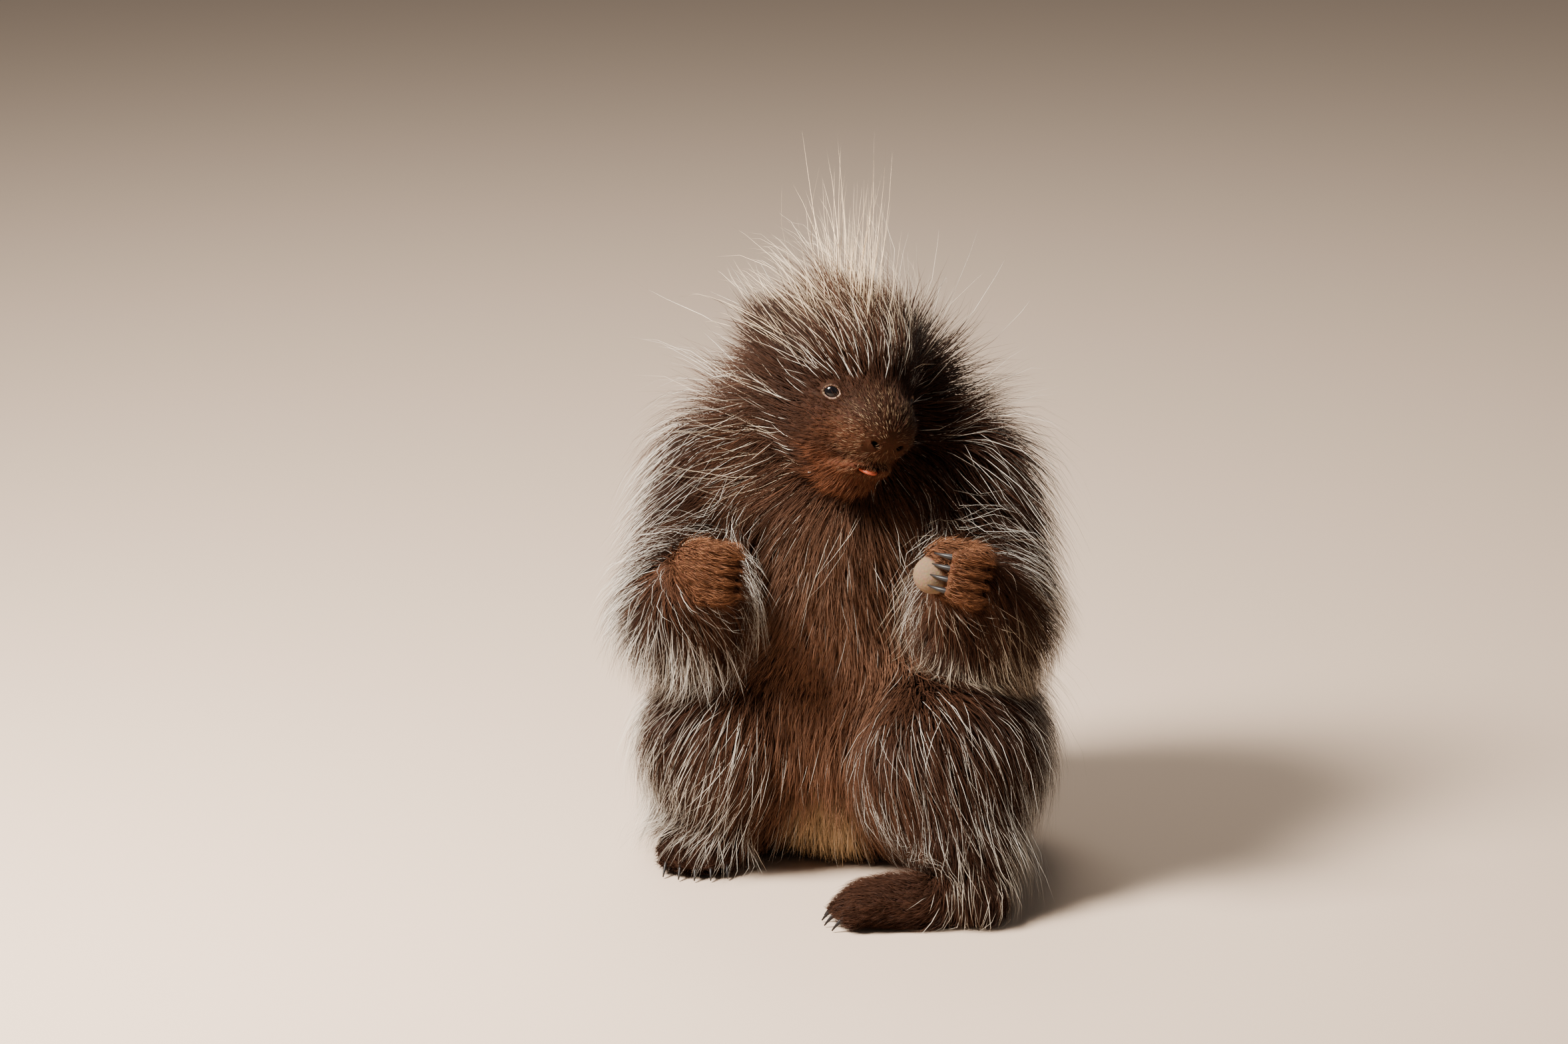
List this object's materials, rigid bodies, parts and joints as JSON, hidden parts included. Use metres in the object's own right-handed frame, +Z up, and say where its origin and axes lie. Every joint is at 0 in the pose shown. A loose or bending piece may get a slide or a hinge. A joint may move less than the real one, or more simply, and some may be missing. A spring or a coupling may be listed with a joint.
{
  "type": "porcupine figure",
  "caption": "Still, life-size young porcupine sitting up on its haunches, head turned and forepaws raised to its chest, with a long silver-tipped bristly coat.",
  "frame": {"origin": "on the floor, in the middle of the flat that the rump rests on", "axes": "+Z up, -Y the way the body faces, +X the animal's own left side; the head is turned towards +X"},
  "size_m": [0.2116, 0.2997, 0.3318],
  "materials": {
    "long_coat": "long coarse guard hair, dark brown at the root with silver-white tips",
    "short_fur": "short dense brown fur",
    "claw": "dark horn, slightly glossy",
    "eye": "dark, wet and glossy",
    "tongue": "moist flesh"
  },
  "bodies": {
    "root": {"head": "short_fur", "tongue": "tongue", "neck": "long_coat", "torso": "long_coat", "tail": "long_coat", "eye_left": "eye", "ear_left": "short_fur", "upper_arm_left": "long_coat", "forearm_left": "long_coat", "forepaw_left": "short_fur", "thigh_left": "long_coat", "shank_left": "long_coat", "hind_foot_left": "short_fur", "claw_fore_left_1": "claw", "claw_fore_left_2": "claw", "claw_fore_left_3": "claw", "claw_fore_left_4": "claw", "claw_hind_left_1": "claw", "claw_hind_left_2": "claw", "claw_hind_left_3": "claw", "claw_hind_left_4": "claw", "claw_hind_left_5": "claw", "eye_right": "eye", "ear_right": "short_fur", "upper_arm_right": "long_coat", "forearm_right": "long_coat", "forepaw_right": "short_fur", "thigh_right": "long_coat", "shank_right": "long_coat", "hind_foot_right": "short_fur", "claw_fore_right_1": "claw", "claw_fore_right_2": "claw", "claw_fore_right_3": "claw", "claw_fore_right_4": "claw", "claw_hind_right_1": "claw", "claw_hind_right_2": "claw", "claw_hind_right_3": "claw", "claw_hind_right_4": "claw", "claw_hind_right_5": "claw"}
  },
  "joints": []
}
